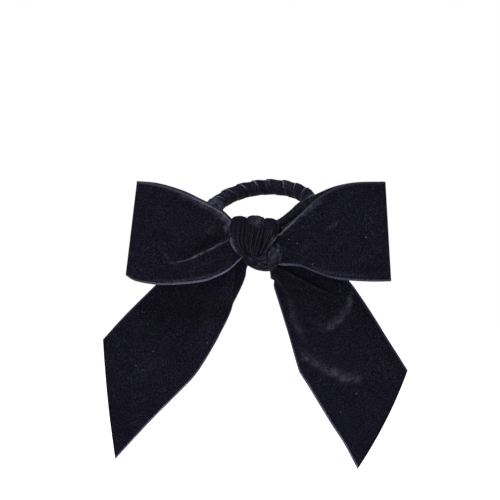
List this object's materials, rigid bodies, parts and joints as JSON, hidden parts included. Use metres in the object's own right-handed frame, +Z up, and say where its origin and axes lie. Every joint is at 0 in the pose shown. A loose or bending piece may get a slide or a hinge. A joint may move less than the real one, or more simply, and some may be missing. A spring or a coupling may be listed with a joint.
{
  "type": "hair bow",
  "caption": "Velvet ribbon bow with flat loops and long slanted tails, tied round a stretchy hair elastic wrapped in the same velvet ribbon.",
  "frame": {"origin": "centre of the hair elastic's ring", "axes": "+Z up, -Y towards the viewer in front of the bow, +Y towards the head, +X to the viewer's right; the ring's plane rises 31 degrees towards +Y and 7 degrees towards +X"},
  "size_m": [0.1581, 0.0698, 0.1511],
  "materials": {
    "bow_velvet": "short-pile velvet ribbon, near-black navy, ribbed woven selvedges",
    "wrap_velvet": "narrow velvet ribbon wound spirally, near-black navy",
    "elastic_rubber": "matt covered rubber cord",
    "join_tape": "glued woven tape"
  },
  "bodies": {
    "elastic_near": {"elastic_core_near": "elastic_rubber", "elastic_join": "join_tape", "wrap_ribbon_near": "wrap_velvet"},
    "elastic_far": {"elastic_core_far": "elastic_rubber", "wrap_ribbon_far": "wrap_velvet", "wrap_end_collar": "wrap_velvet"},
    "knot": {"knot_strap": "bow_velvet", "knot_core": "bow_velvet", "knot_band": "bow_velvet", "knot_lower_turn": "bow_velvet", "left_tail_root": "bow_velvet", "right_tail_root": "bow_velvet"},
    "left_loop": {"left_loop": "bow_velvet"},
    "right_loop": {"right_loop": "bow_velvet"},
    "left_tail": {"left_tail": "bow_velvet"},
    "right_tail": {"right_tail": "bow_velvet"}
  },
  "joints": [
    {"name": "elastic_stretch", "type": "slide", "parent": "elastic_near", "child": "elastic_far", "axis": [-0.0628, 0.8572, 0.5112], "range_m": [0, 0.025], "stiffness_N_per_m": 200},
    {"name": "bow_tilt", "type": "hinge", "parent": "elastic_near", "child": "knot", "pos_m": [0.00173, -0.02366, -0.01411], "axis": [0.9925, 0, 0.1219], "range_deg": [-20, 50]},
    {"name": "left_loop_fold", "type": "hinge", "parent": "knot", "child": "left_loop", "pos_m": [-0.0175, -0.0327, -0.014], "axis": [0, 0, 1], "range_deg": [0, 35], "stiffness_Nm_per_rad": 0.001},
    {"name": "right_loop_fold", "type": "hinge", "parent": "knot", "child": "right_loop", "pos_m": [0.012, -0.0327, -0.014], "axis": [0, 0, -1], "range_deg": [0, 35], "stiffness_Nm_per_rad": 0.001},
    {"name": "left_tail_swing", "type": "hinge", "parent": "knot", "child": "left_tail", "pos_m": [-0.035, -0.0245, -0.03885], "axis": [1, 0, 0], "range_deg": [-40, 40]},
    {"name": "right_tail_swing", "type": "hinge", "parent": "knot", "child": "right_tail", "pos_m": [0.027, -0.0245, -0.03885], "axis": [1, 0, 0], "range_deg": [-40, 40]}
  ]
}
